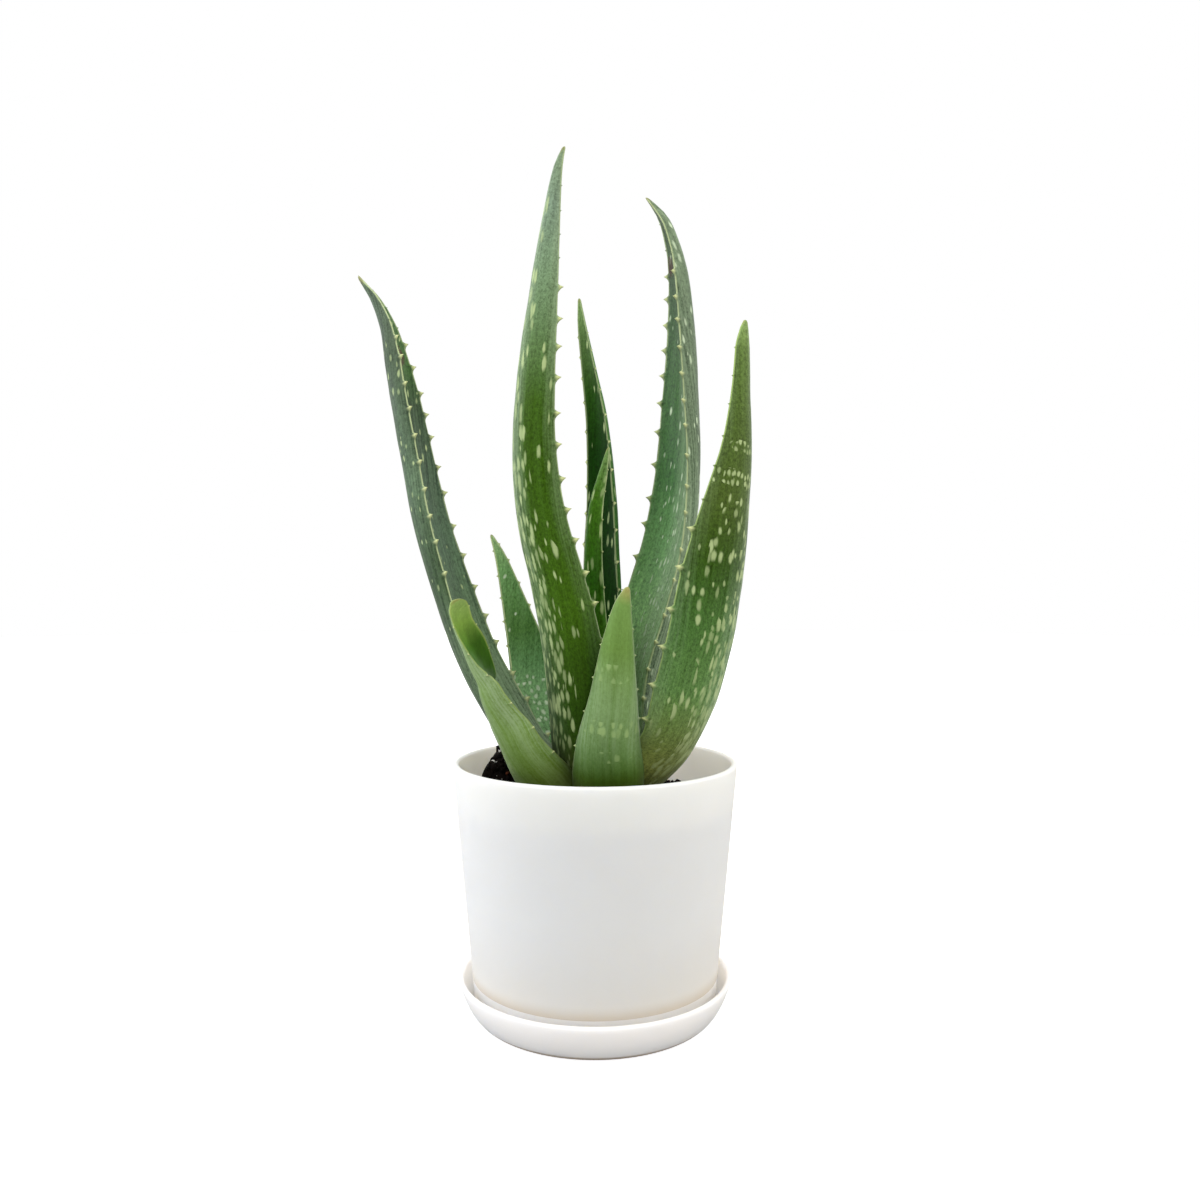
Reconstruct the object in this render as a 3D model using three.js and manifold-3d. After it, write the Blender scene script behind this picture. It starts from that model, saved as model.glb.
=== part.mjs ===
// A young aloe with nine toothed leaves in a tapered white pot that stands on its saucer.
// Millimetres, +Z up. The origin is the centre of the saucer's flat underside, on the pot's axis.
import * as THREE from "three";
import { mergeVertices } from "three/addons/utils/BufferGeometryUtils.js";
import Module from "manifold-3d";

// ---- Driving dimensions ----
const clearance = 0.3; // between pieces that touch
const finest = 0.03; // cutting leaves no edge finer than about this

const saucer = {
  height: 17.6,
  rimRadius: 63.2, // outside, at the lip
  baseRadius: 53.2, // flat underside
  wall: 2.4,
  floor: 3.2,
  lip: 1.2, // half round on top of the wall
  // how far the wall's curve is pulled out at the base and in at the lip: [radius, height]
  outerPull: [2.4, 0.2],
  rimPull: [2.7, 6.3],
  innerPull: [0.8, 8.6],
  floorPull: [4.2, 0.2],
};
const pot = {
  rimHeight: 116.2,
  rimRadius: 66, // outside
  footRadius: 56.3, // outside, where the straight wall meets the round foot
  footRound: 7,
  wall: 3,
  floor: 4,
  lip: 1.4,
  drainRadius: 7,
};
const soil = {
  edgeHeight: 97, // where the mix meets the pot's wall
  rings: 8,
  spokes: 32,
  // mounds: [x, y, height above the edge, spread, steepness of the flank]
  mounds: [
    [2, 0, 12, 27, 2],
    [-48.5, 28, 14, 8.5, 4],
    [-40, 36, 12, 10, 4],
    [-24, 36, 7, 14, 3],
  ],
  ripple: 0.9,
};
const crown = { radius: 12, top: 105, bottom: 80, taper: 4 };

const roundSteps = 40; // sides of the pot and the saucer

// Leaf stations run from the base to the tip: [x, y, z, width from margin to margin,
// compass direction that the hollow inner face looks to, in degrees from +X towards +Y].
// bulge and channel are shares of the width, at the base and near the tip; teeth is their size
// beside those of a tall leaf.
const leaves = [
  {
    name: "leaf_heart_short",
    green: 0x4f7a3f,
    stations: [
      [4, 0, 106, 19, 45],
      [5, -1, 125, 17, 45],
      [4, -2, 150, 14.5, 45],
      [1, -2, 182, 12.5, 45],
      [0, -2, 209, 10.5, 42],
      [1, -1, 233, 8.5, 40],
      [4, 0, 249, 5.5, 38],
      [6.5, 0.5, 262, 1.6, 38],
    ],
    bulge: [0.42, 0.48],
    channel: [0.08, 0.12],
    teeth: 0.6,
  },
  {
    name: "leaf_back_tall",
    green: 0x24481f,
    stations: [
      [5, 7, 103, 25, 236],
      [5, 10, 130, 25, 236],
      [3, 15, 166, 24, 232],
      [2, 19, 210, 21, 228],
      [2, 21, 239, 18, 225],
      [0, 22, 277, 13, 225],
      [-4, 23, 305, 8.5, 225],
      [-7, 24, 326, 5, 225],
      [-8, 24, 338, 1.6, 225],
    ],
    bulge: [0.42, 0.46],
    channel: [0.06, 0.15],
    teeth: 0.75,
  },
  {
    name: "leaf_centre_tall",
    green: 0x3f6a35,
    stations: [
      [-4, -7, 102, 29, 62],
      [-6, -13, 130, 30, 60],
      [-9.5, -23, 172, 30, 58],
      [-15.5, -28, 200, 27, 56],
      [-22, -31, 226, 24.8, 54],
      [-25.3, -32, 257, 22.3, 52],
      [-24.5, -31, 287, 20, 50],
      [-21.4, -28, 327, 14.8, 50],
      [-18.4, -24, 362, 9, 50],
      [-16, -21, 383, 4.8, 50],
      [-13.5, -19, 393, 1.6, 50],
    ],
    bulge: [0.4, 0.46],
    channel: [0.06, 0.14],
    teeth: 1,
  },
  {
    name: "leaf_right_tall",
    green: 0x4d7758,
    stations: [
      [10, 3, 100, 30, 215],
      [12, 8, 128, 32, 215],
      [15.2, 15, 158, 33, 216],
      [24.4, 21, 190, 33, 217],
      [32.5, 25, 219, 31, 216],
      [37.2, 28, 255, 28, 210],
      [38, 28, 289, 24.5, 202],
      [38.2, 27, 322, 20.5, 192],
      [37, 23, 350, 15, 187],
      [35.2, 21, 362, 11.5, 186],
      [31, 18, 374, 7.5, 186],
      [24, 14, 383, 1.6, 186],
    ],
    bulge: [0.54, 0.54],
    channel: [0.06, 0.18],
    teeth: 1,
  },
  {
    name: "leaf_left_tall",
    green: 0x55805f,
    stations: [
      [-14, -2, 99, 31, 336],
      [-24, 3, 116, 33, 336],
      [-38, 11, 137, 33, 338],
      [-54, 17, 166, 32, 341],
      [-66.5, 21, 200, 30.5, 345],
      [-76, 24, 230, 28, 348],
      [-82.3, 26, 257, 25, 350],
      [-90.4, 28, 294, 21, 351],
      [-94.3, 29, 310, 18, 355],
      [-100.2, 30, 328, 12.5, 356],
      [-107, 31, 340, 8, 355],
      [-118, 32, 352, 1.6, 355],
    ],
    bulge: [0.34, 0.6],
    channel: [0.08, 0.2],
    teeth: 1,
  },
  {
    name: "leaf_back_short",
    green: 0x46733c,
    stations: [
      [-13, 20, 99, 26, 305],
      [-20.5, 27, 124, 28.5, 305],
      [-28.5, 35, 146, 26.8, 303],
      [-35.5, 40, 170, 20, 302],
      [-43, 43, 195.2, 11.8, 302],
      [-48.5, 44.5, 212.4, 6.2, 302],
      [-53.5, 45.5, 223.7, 1.6, 302],
    ],
    bulge: [0.36, 0.42],
    channel: [0.05, 0.12],
    teeth: 0.65,
  },
  {
    name: "leaf_right_broad",
    green: 0x47693a,
    stations: [
      [12, -5, 96, 22, 132],
      [20.5, -9, 112, 27.5, 132],
      [31.5, -14.5, 128, 32, 131],
      [38.8, -24, 151, 36.4, 130],
      [44.2, -29.6, 174, 36.2, 130],
      [48.6, -34.4, 200, 34, 130],
      [54.5, -37, 230, 26, 132],
      [59.5, -38, 256, 17, 134],
      [61.8, -37, 280, 10.5, 135],
      [62.9, -36.5, 300, 8, 135],
      [64.2, -35.7, 308.5, 4.2, 135],
      [65.2, -34, 312, 1.6, 135],
    ],
    bulge: [0.36, 0.46],
    channel: [0.06, 0.14],
    teeth: 1,
  },
  {
    name: "leaf_left_short",
    green: 0x6f9552,
    stations: [
      [-12, -10, 96, 27, 66],
      [-23, -15, 113, 27, 60],
      [-32.5, -20, 131, 23.5, 50],
      [-37, -23, 140, 19.5, 38],
      [-41.6, -25.5, 150, 21, 14],
      [-43.6, -27, 156, 20.5, -3],
      [-47.8, -28.5, 162.5, 18, -22],
      [-51.8, -31, 171.5, 14.8, -42],
      [-56.6, -33, 180.5, 12, -50],
      [-58.1, -35, 187.5, 10.5, -52],
      [-58.4, -36, 191.6, 5.5, -52],
    ],
    bulge: [0.5, 0.45],
    channel: [0.06, 0.2],
    teeth: 0.55,
  },
  {
    name: "leaf_front_short",
    green: 0x6d9161,
    stations: [
      [5, -16, 96, 29, 94],
      [6, -21, 112, 32.5, 94],
      [6, -26, 127, 29, 94],
      [8, -33, 148, 21.5, 94],
      [10, -41, 174, 13.5, 94],
      [12, -46, 190, 7, 94],
      [14, -48, 197, 2, 94],
    ],
    bulge: [0.38, 0.46],
    channel: [0.06, 0.12],
    teeth: 0.5,
  },
];
const leafRow = 14; // length of leaf between two sections
const outerSteps = 6; // sides round the outer face
const innerSteps = 4; // sides across the inner face
const tipFade = 0.08; // share of the leaf's length over which its hollow fades at the tip
// Low down the inner face is full instead of hollow, and fits round the leaves inside it.
const heel = { fullness: 0.34, length: 32 };

const tooth = {
  firstHeight: 118, // none below the pot's rim
  lastShare: 0.96, // share of the leaf's length where they stop
  gap: [17, 9], // between teeth, near the base and near the tip
  jitter: 0.18,
  length: 2.4, // proud of the margin
  lean: 1, // its point leans towards the leaf's tip
  halfBase: 2.3,
  halfThickness: 0.8,
  root: 1.6, // sunk into the leaf
  tipSize: 0.4, // share of their size that is left at the leaf's tip
  fullWidth: 30, // teeth are full size well before the leaf is this wide
  drop: 0.12, // share of the bulge by which it sits below the hollow face
};

// ---- Solids ----
const wasm = await Module();
wasm.setup();

function solidFrom(geometry) {
  const bare = geometry.clone();
  bare.deleteAttribute("normal");
  bare.deleteAttribute("uv");
  const merged = mergeVertices(bare, 1e-4);
  return new wasm.Manifold(
    new wasm.Mesh({
      numProp: 3,
      vertProperties: new Float32Array(merged.attributes.position.array),
      triVerts: new Uint32Array(merged.index.array),
    }),
  );
}

function geometryFrom(solid) {
  const mesh = solid.getMesh();
  const geometry = new THREE.BufferGeometry();
  geometry.setAttribute("position", new THREE.BufferAttribute(mesh.vertProperties, 3));
  geometry.setIndex(new THREE.BufferAttribute(mesh.triVerts, 1));
  const flat = geometry.toNonIndexed();
  flat.computeVertexNormals();
  return flat;
}

// The largest body of a cut solid, without its finest slivers; the scraps beside it are dropped.
function mainBody(solid) {
  const bodies = solid.decompose();
  return bodies.reduce((best, body) => (body.volume() > best.volume() ? body : best)).simplify(finest);
}

// A closed skin through rings of equal count, with a point in the middle of each end.
function loft(rings, startPoint, endPoint) {
  const count = rings[0].length;
  const positions = rings.flat().concat([startPoint, endPoint]);
  const faces = [];
  const first = rings.length * count;
  const last = (rings.length - 1) * count;
  for (let side = 0; side < count; side++) {
    const next = (side + 1) % count;
    faces.push(first, next, side);
    for (let row = 0; row < last; row += count) {
      faces.push(row + side, row + next, row + count + next);
      faces.push(row + side, row + count + next, row + count + side);
    }
    faces.push(last + side, last + next, first + 1);
  }
  const geometry = new THREE.BufferGeometry().setFromPoints(positions);
  geometry.setIndex(faces);
  return geometry;
}

function node(name, geometry, colour, roughness) {
  const material = new THREE.MeshStandardMaterial({ color: colour, roughness, metalness: 0 });
  const mesh = new THREE.Mesh(geometry, material);
  mesh.name = name;
  return mesh;
}

// A turned piece: the outline is drawn as radius against height and spun about the pot's axis.
function turned(outline) {
  const geometry = new THREE.LatheGeometry(outline, roundSteps);
  geometry.rotateX(Math.PI / 2);
  return geometry;
}

function arc(centreX, centreY, radius, from, to, steps) {
  const points = [];
  for (let i = 0; i <= steps; i++) {
    const angle = THREE.MathUtils.degToRad(from + ((to - from) * i) / steps);
    points.push(
      new THREE.Vector2(centreX + radius * Math.cos(angle), centreY + radius * Math.sin(angle)),
    );
  }
  return points;
}

// A repeatable stream of numbers from 0 to 1.
function stream(seed) {
  let state = seed;
  return () => {
    state = (state * 16807) % 2147483647;
    return state / 2147483647;
  };
}

// ---- Saucer ----
function makeSaucer() {
  const lipHeight = saucer.height - saucer.lip;
  const innerRadius = saucer.rimRadius - saucer.wall;
  const floorRadius = saucer.baseRadius - 1;
  const outer = new THREE.CubicBezierCurve(
    new THREE.Vector2(saucer.baseRadius, 0),
    new THREE.Vector2(saucer.baseRadius + saucer.outerPull[0], saucer.outerPull[1]),
    new THREE.Vector2(saucer.rimRadius - saucer.rimPull[0], saucer.rimPull[1]),
    new THREE.Vector2(saucer.rimRadius, lipHeight),
  );
  const lip = arc(saucer.rimRadius - saucer.lip, lipHeight, saucer.lip, 30, 150, 3);
  const inner = new THREE.CubicBezierCurve(
    new THREE.Vector2(innerRadius, lipHeight),
    new THREE.Vector2(innerRadius - saucer.innerPull[0], saucer.innerPull[1]),
    new THREE.Vector2(floorRadius + saucer.floorPull[0], saucer.floor + saucer.floorPull[1]),
    new THREE.Vector2(floorRadius, saucer.floor),
  );
  const outline = [
    new THREE.Vector2(0, 0),
    ...outer.getPoints(5),
    ...lip,
    ...inner.getPoints(4),
    new THREE.Vector2(0, saucer.floor),
  ];
  return turned(outline);
}

// ---- Pot ----
const potFoot = saucer.floor + clearance;

// The wall's outside radius at a height above its round foot.
function potRadius(height) {
  const foot = potFoot + pot.footRound;
  return THREE.MathUtils.mapLinear(height, foot, pot.rimHeight, pot.footRadius, pot.rimRadius);
}

function makePot() {
  const insideFloor = potFoot + pot.floor;
  const insideRound = pot.footRound - pot.wall;
  const outline = [
    new THREE.Vector2(pot.drainRadius, potFoot),
    ...arc(pot.footRadius - pot.footRound, potFoot + pot.footRound, pot.footRound, 270, 360, 4),
    new THREE.Vector2(potRadius(pot.rimHeight - pot.lip), pot.rimHeight - pot.lip),
    ...arc(pot.rimRadius - pot.lip, pot.rimHeight - pot.lip, pot.lip, 40, 140, 3),
    new THREE.Vector2(pot.rimRadius - pot.wall, pot.rimHeight - pot.lip),
    ...arc(
      potRadius(insideFloor + insideRound) - pot.wall - insideRound,
      insideFloor + insideRound,
      insideRound,
      360,
      270,
      2,
    ),
    new THREE.Vector2(pot.drainRadius, insideFloor),
    new THREE.Vector2(pot.drainRadius, potFoot),
  ];
  return turned(outline);
}

// ---- Leaves ----
// Everything that a section of the leaf needs, at a share of the leaf's length.
function leafFrame(leaf, share) {
  const route = leaf.route;
  const t = route.getUtoTmapping(share);
  const centre = route.getPoint(t);
  const tangent = route.getTangent(t);
  const gauge = leaf.gauge.getPoint(t);
  const facing = THREE.MathUtils.degToRad(gauge.y);
  const inward = new THREE.Vector3(Math.cos(facing), Math.sin(facing), 0);
  inward.addScaledVector(tangent, -inward.dot(tangent)).normalize();
  const across = new THREE.Vector3().crossVectors(tangent, inward);
  const fade = Math.min(1, (1 - share) / tipFade);
  const full = heel.fullness * Math.exp(-(((share * leaf.length) / heel.length) ** 2));
  const [bulgeLow, bulgeHigh] = leaf.bulge;
  const [channelLow, channelHigh] = leaf.channel;
  return {
    centre,
    tangent,
    inward,
    across,
    half: gauge.x / 2,
    toothSize: leaf.teeth * Math.min(1, tooth.tipSize + gauge.x / tooth.fullWidth),
    bulge: gauge.x * THREE.MathUtils.lerp(bulgeLow, bulgeHigh, share),
    channel: gauge.x * (THREE.MathUtils.lerp(channelLow, channelHigh, share) * fade - full),
  };
}

// One crescent section: round the outer face, then back across the hollow inner face.
function leafSection(frame, grow) {
  const ring = [];
  const place = (along, out) =>
    frame.centre
      .clone()
      .addScaledVector(frame.across, along)
      .addScaledVector(frame.inward, out);
  const half = frame.half + grow;
  for (let i = 0; i <= outerSteps; i++) {
    const angle = (Math.PI * i) / outerSteps;
    ring.push(place(half * Math.cos(angle), -(frame.bulge + grow) * Math.sin(angle)));
  }
  for (let i = 1; i < innerSteps; i++) {
    const side = -1 + (2 * i) / innerSteps;
    ring.push(place(half * side, grow - frame.channel * (1 - side * side)));
  }
  return ring;
}

// The leaf without its teeth; grow gives the same leaf a little thicker all round.
function leafBlade(leaf, grow) {
  const rows = Math.round(leaf.length / leafRow);
  const rings = [];
  for (let row = 0; row < rows; row++) rings.push(leafSection(leafFrame(leaf, row / rows), grow));
  const base = leafFrame(leaf, 0);
  const tip = leafFrame(leaf, 1);
  const start = base.centre
    .clone()
    .addScaledVector(base.inward, -base.bulge / 2)
    .addScaledVector(base.tangent, -grow);
  const end = tip.centre.clone().addScaledVector(tip.tangent, grow);
  return solidFrom(loft(rings, start, end));
}

// A four-sided spike on one margin, which leans towards the leaf's tip.
function leafTooth(frame, side, grow) {
  const size = frame.toothSize;
  const margin = frame.centre
    .clone()
    .addScaledVector(frame.across, side * frame.half)
    .addScaledVector(frame.inward, -frame.bulge * tooth.drop);
  const corner = (along, thick) =>
    margin
      .clone()
      .addScaledVector(frame.across, -side * tooth.root)
      .addScaledVector(frame.tangent, along * (tooth.halfBase * size + 2 * grow))
      .addScaledVector(frame.inward, thick * (tooth.halfThickness * size + 2 * grow));
  const point = margin
    .clone()
    .addScaledVector(frame.across, side * (tooth.length * size + 2 * grow))
    .addScaledVector(frame.tangent, tooth.lean * size);
  const root = [corner(-1, 0), corner(0, -side), corner(1, 0), corner(0, side)];
  return solidFrom(loft([root], corner(0, 0), point));
}

// The leaf with the teeth along both of its margins.
function toothedLeaf(leaf, grow) {
  const draw = stream(leaf.seed);
  let solid = leafBlade(leaf, grow);
  for (const side of [-1, 1]) {
    let along = draw() * tooth.gap[0];
    while (along < leaf.length * tooth.lastShare) {
      const share = along / leaf.length;
      const frame = leafFrame(leaf, share);
      if (frame.centre.z > tooth.firstHeight) solid = solid.add(leafTooth(frame, side, grow));
      const gap = THREE.MathUtils.lerp(tooth.gap[0], tooth.gap[1], share * share);
      along += gap * (1 + tooth.jitter * (draw() - 0.5) * 2);
    }
  }
  return solid;
}

// ---- Soil ----
function soilHeight(x, y) {
  let height = soil.edgeHeight;
  for (const [moundX, moundY, rise, spread, steepness] of soil.mounds) {
    const distance = Math.hypot(x - moundX, y - moundY) / spread;
    height += rise * Math.exp(-(distance ** steepness));
  }
  return height + soil.ripple * Math.sin(x * 0.61 + 1) * Math.sin(y * 0.53 + 2);
}

function makeSoil() {
  const floor = potFoot + pot.floor + clearance;
  const radiusAt = (height) => potRadius(height) - pot.wall - clearance;
  const ringAt = (share, heightOf) => {
    const ring = [];
    for (let i = 0; i < soil.spokes; i++) {
      const angle = (2 * Math.PI * i) / soil.spokes;
      ring.push(heightOf(Math.cos(angle), Math.sin(angle), share));
    }
    return ring;
  };
  const level = (radius, height) =>
    ringAt(1, (x, y) => new THREE.Vector3(x * radius, y * radius, height));
  const round = pot.footRound;
  const rings = [level(radiusAt(floor) - round, floor), level(radiusAt(floor + round), floor + round)];
  for (let i = soil.rings; i >= 1; i--) {
    const share = i / soil.rings;
    rings.push(
      ringAt(share, (x, y) => {
        const rough = (pot.rimRadius - pot.wall - 2) * share;
        const height = soilHeight(x * rough, y * rough);
        const radius = radiusAt(height) * share;
        return new THREE.Vector3(x * radius, y * radius, height);
      }),
    );
  }
  const middle = new THREE.Vector3(0, 0, soilHeight(0, 0));
  return solidFrom(loft(rings, new THREE.Vector3(0, 0, floor), middle));
}

// ---- Crown: the short stem that the leaves stand on ----
function makeCrown(grow) {
  const radius = crown.radius + grow;
  const top = crown.top + grow;
  const bottom = crown.bottom - grow;
  const profile = [
    new THREE.Vector2(0, bottom),
    new THREE.Vector2(radius - crown.taper, bottom),
    new THREE.Vector2(radius, bottom + crown.taper),
    new THREE.Vector2(radius, top - 2 * crown.taper),
    new THREE.Vector2(radius - crown.taper, top),
    new THREE.Vector2(0, top),
  ];
  const geometry = new THREE.LatheGeometry(profile, 16);
  geometry.rotateX(Math.PI / 2);
  return solidFrom(geometry);
}

// ---- Assembly ----
const plant = new THREE.Group();
plant.add(node("saucer", makeSaucer(), 0xf1efec, 0.6));
plant.add(node("pot", makePot(), 0xeeebe6, 0.6));

// Leaves are laid from the heart outwards, and each gives way to those inside it.
let taken = makeCrown(clearance);
plant.add(node("crown", geometryFrom(makeCrown(0)), 0x6d7a45, 0.7));
leaves.forEach((leaf, index) => {
  leaf.seed = 41 + index;
  leaf.route = new THREE.CatmullRomCurve3(
    leaf.stations.map(([x, y, z]) => new THREE.Vector3(x, y, z)),
  );
  leaf.gauge = new THREE.CatmullRomCurve3(
    leaf.stations.map(([, , , width, facing]) => new THREE.Vector3(width, facing, 0)),
  );
  leaf.length = leaf.route.getLength();
  const solid = mainBody(toothedLeaf(leaf, 0).subtract(taken));
  plant.add(node(leaf.name, geometryFrom(solid), leaf.green, 0.5));
  taken = taken.add(toothedLeaf(leaf, clearance));
});
plant.add(node("soil", geometryFrom(mainBody(makeSoil().subtract(taken))), 0x2b1f18, 0.95));

export default plant;
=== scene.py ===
# A young aloe in a white pot on its saucer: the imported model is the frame, and this gives each
# plain solid its real surface. Lengths in the dictionaries are millimetres, colours are hex codes.
import math
import random

import bmesh
import bpy
from mathutils import Matrix, Vector, noise


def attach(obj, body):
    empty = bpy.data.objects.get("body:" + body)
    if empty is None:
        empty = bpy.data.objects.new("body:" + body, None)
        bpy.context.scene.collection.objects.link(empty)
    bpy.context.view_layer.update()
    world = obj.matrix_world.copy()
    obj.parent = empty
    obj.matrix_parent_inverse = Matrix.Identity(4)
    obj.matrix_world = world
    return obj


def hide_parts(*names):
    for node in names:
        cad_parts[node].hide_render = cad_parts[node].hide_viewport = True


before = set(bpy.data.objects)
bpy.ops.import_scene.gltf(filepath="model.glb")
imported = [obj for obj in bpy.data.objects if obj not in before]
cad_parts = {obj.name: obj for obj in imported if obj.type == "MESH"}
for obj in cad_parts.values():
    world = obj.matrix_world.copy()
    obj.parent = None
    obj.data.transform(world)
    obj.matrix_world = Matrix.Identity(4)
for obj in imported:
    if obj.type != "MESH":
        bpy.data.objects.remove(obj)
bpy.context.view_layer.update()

mm = 0.001
print("frame loaded:", len(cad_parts), "nodes")


def tint(code):
    channels = [int(code[i : i + 2], 16) / 255 for i in (0, 2, 4)]
    linear = [c / 12.92 if c <= 0.04045 else ((c + 0.055) / 1.055) ** 2.4 for c in channels]
    return (*linear, 1.0)


def lerp(a, b, share):
    return a + (b - a) * share


def newObject(bm, name, material):
    mesh = bpy.data.meshes.new(name)
    bm.to_mesh(mesh)
    bm.free()
    mesh.materials.append(material)
    piece = bpy.data.objects.new(name, mesh)
    bpy.context.scene.collection.objects.link(piece)
    return piece


def addPiece(bm, name, material, node=None):
    for face in bm.faces:
        face.smooth = True
    piece = newObject(bm, name, material)
    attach(piece, "root")
    if node:
        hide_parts(node)


# Node helpers: a socket or a plain value may go into any input.
def plug(tree, source, socket):
    if isinstance(source, bpy.types.NodeSocket):
        tree.links.new(source, socket)
    else:
        socket.default_value = source


def settle(tree, node, sources):
    for name, source in sources.items():
        plug(tree, source, node.inputs[name])


def newFinish(name):
    material = bpy.data.materials.new(name)
    material.use_nodes = True
    tree = material.node_tree
    return material, tree, tree.nodes["Principled BSDF"]


def calc(tree, operation, a, b):
    node = tree.nodes.new("ShaderNodeMath")
    node.operation = operation
    plug(tree, a, node.inputs[0])
    plug(tree, b, node.inputs[1])
    return node.outputs[0]


def times(tree, *values):
    product = values[0]
    for value in values[1:]:
        product = calc(tree, "MULTIPLY", product, value)
    return product


def total(tree, *values):
    result = values[0]
    for value in values[1:]:
        result = calc(tree, "ADD", result, value)
    return result


# A value that swings about the middle of a noise, from -share to +share.
def swing(tree, fac, share):
    return times(tree, calc(tree, "SUBTRACT", fac, 0.5), 2 * share)


def fade(tree, value, start, end, low=0.0, high=1.0):
    node = tree.nodes.new("ShaderNodeMapRange")
    node.interpolation_type = "SMOOTHSTEP"
    for socket, source in zip(node.inputs, (value, start, end, low, high)):
        plug(tree, source, socket)
    return node.outputs["Result"]


def blend(tree, share, under, over, mode="MIX"):
    node = tree.nodes.new("ShaderNodeMix")
    node.data_type = "RGBA"
    node.blend_type = mode
    plug(tree, share, node.inputs[0])
    plug(tree, under, node.inputs[6])  # 6 and 7 are its two colours
    plug(tree, over, node.inputs[7])
    return node.outputs[2]


def ramp(tree, value, stops):
    node = tree.nodes.new("ShaderNodeValToRGB")
    elements = node.color_ramp.elements
    while len(elements) < len(stops):
        elements.new(0.5)
    for element, (place, height) in zip(elements, stops):
        element.position = place
        element.color = tint(height) if isinstance(height, str) else (height, height, height, 1)
    plug(tree, value, node.inputs["Fac"])
    return node.outputs["Color"]


def grown(tree, name, output="Fac"):
    node = tree.nodes.new("ShaderNodeAttribute")
    node.attribute_name = name
    return node.outputs[output]


def stretched(tree, vector, scale, shift=(0, 0, 0)):
    node = tree.nodes.new("ShaderNodeMapping")
    settle(tree, node, {"Vector": vector, "Scale": scale, "Location": shift})
    return node.outputs["Vector"]


def cloud(tree, vector, scale, detail=3.0, roughness=0.55, output="Fac"):
    node = tree.nodes.new("ShaderNodeTexNoise")
    sources = {"Vector": vector, "Scale": scale, "Detail": detail, "Roughness": roughness}
    settle(tree, node, sources)
    return node.outputs[output]


# The distance to the middle of a cell, and three numbers drawn for each cell.
def cellDraws(tree, vector, dimensions, scale, scatter):
    cells = tree.nodes.new("ShaderNodeTexVoronoi")
    cells.voronoi_dimensions = dimensions
    settle(tree, cells, {"Vector": vector, "Scale": scale, "Randomness": scatter})
    draws = tree.nodes.new("ShaderNodeSeparateColor")
    tree.links.new(cells.outputs["Color"], draws.inputs[0])
    return cells.outputs["Distance"], draws.outputs


def relief(tree, height, strengthAndDepth, under=None):
    strength, depth = strengthAndDepth
    node = tree.nodes.new("ShaderNodeBump")
    settle(tree, node, {"Strength": strength, "Distance": depth * mm, "Height": height})
    if under:
        tree.links.new(under, node.inputs["Normal"])
    return node.outputs["Normal"]


# Leaves. Stations run from base to tip: x, y, z, width, compass direction of the hollow inner face.
# bulge and channel: depth of the outer and inner face at the base and the tip, as shares of the
# width. outer and inner: each face's colour along the leaf. An inner ramp paints shade across
# the inner face, darker towards one margin. The bloom ramps lay the waxy bloom, and a painted
# sheen on the lit edges. Across runs from one margin to the other.
# flecks: each layer has pitch (across, along), size (smallest, largest, as a share of the pitch),
# scatter, and how dense it is along the leaf and across it. A leaf may have its own value for
# most of what toothBuild and leafFinish hold.
leafShapes = {}
leafShapes["leaf_heart_short"] = {
    "slot": "leaf_mid",
    "stations": [
        (4, 0, 106, 19, 45), (5, -1, 125, 17, 45), (4, -2, 150, 14.5, 45), (1, -2, 182, 12.5, 45),
        (0, -2, 209, 10.5, 42), (1, -1, 233, 8.5, 40), (4, 0, 249, 5.5, 38), (6.5, 0.5, 262, 1.6, 38),
    ],
    "bulge": (0.42, 0.48),
    "channel": (0.08, 0.12),
    "teeth": 0.6,
    "outer": [
        (0, "3f6c0c"), (0.38, "3f6e0c"), (0.52, "2c5e02"), (0.6, "235403"), (0.86, "3c6a08"), (1, "6f9050"),
    ],
    "inner": [(0, "28501a"), (1, "3d6a2c")],
    "bloom": 0.1,
    "gloss": 0.12,
    "frost": {"along": [(0, 0.1), (0.8, 0.12), (1, 0.6)], "across": [(0, 0.7), (0.3, 0.2), (1, 0.3)]},
    "flecks": [
        {"pitch": (3.2, 11), "size": (0.24, 0.42), "scatter": 0.85,
         "along": [(0, 0.7), (0.85, 0.9), (0.95, 0.1)],
         "across": [(0, 0.9), (0.5, 0.8), (1, 0.9)]},
    ],
}
leafShapes["leaf_back_tall"] = {
    "slot": "leaf_dark",
    "stations": [
        (5, 7, 103, 25, 236), (5, 10, 130, 25, 236), (3, 15, 166, 24, 232), (2, 19, 210, 21, 228),
        (2, 21, 239, 18, 225), (0, 22, 277, 13, 225), (-4, 23, 305, 8.5, 225), (-7, 24, 326, 5, 225),
        (-8, 24, 338, 1.6, 225),
    ],
    "bulge": (0.42, 0.46),
    "channel": (0.06, 0.15),
    "teeth": 0.75,
    "outer": [(0, "2c5220"), (0.6, "35602a"), (1, "5d8348")],
    "inner": [(0, "0a2a04"), (0.68, "0d3205"), (0.8, "1c4108"), (0.92, "4a6433"), (1, "6c8a50")],
    "bloom": 0,
    "gloss": 0.06,
    "frost": {
        "along": [(0, 0.02), (0.7, 0.05), (1, 0.4)],
        "across": [(0, 0.5), (0.2, 0.1), (0.8, 0.1), (1, 0.5)],
    },
    "flecks": [
        {"pitch": (3.6, 11), "size": (0.16, 0.32), "scatter": 0.9,
         "along": [(0, 0.6), (0.8, 0.5), (1, 0.1)],
         "across": [(0, 0.7), (0.2, 0.05), (0.55, 0.08), (0.7, 0.9), (1, 0.9)]},
    ],
}
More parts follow.
